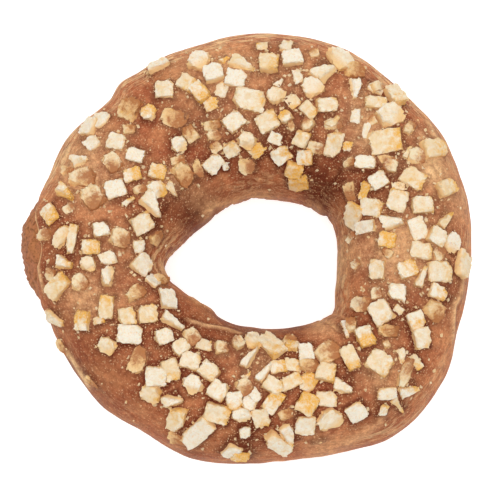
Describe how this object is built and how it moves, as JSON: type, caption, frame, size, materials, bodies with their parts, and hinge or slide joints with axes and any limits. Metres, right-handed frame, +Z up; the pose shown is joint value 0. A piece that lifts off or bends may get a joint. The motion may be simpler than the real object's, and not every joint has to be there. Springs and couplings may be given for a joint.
{
  "type": "doughnut",
  "caption": "Fried ring doughnut with an uneven outline and a pointed hole, coated on top with milk caramel icing and chopped roasted nuts.",
  "frame": {"origin": "middle of the outline box, on the surface the doughnut lies on", "axes": "+Z up through the hole, +X to the right and +Y to the top of the picture"},
  "size_m": [0.0917, 0.0893, 0.0324],
  "materials": {
    "dough": "matt fried crust, golden brown",
    "icing": "satin milk caramel brown, with cream and golden nut pieces on it"
  },
  "bodies": {
    "root": {"dough": "dough", "icing": "icing"}
  },
  "joints": []
}
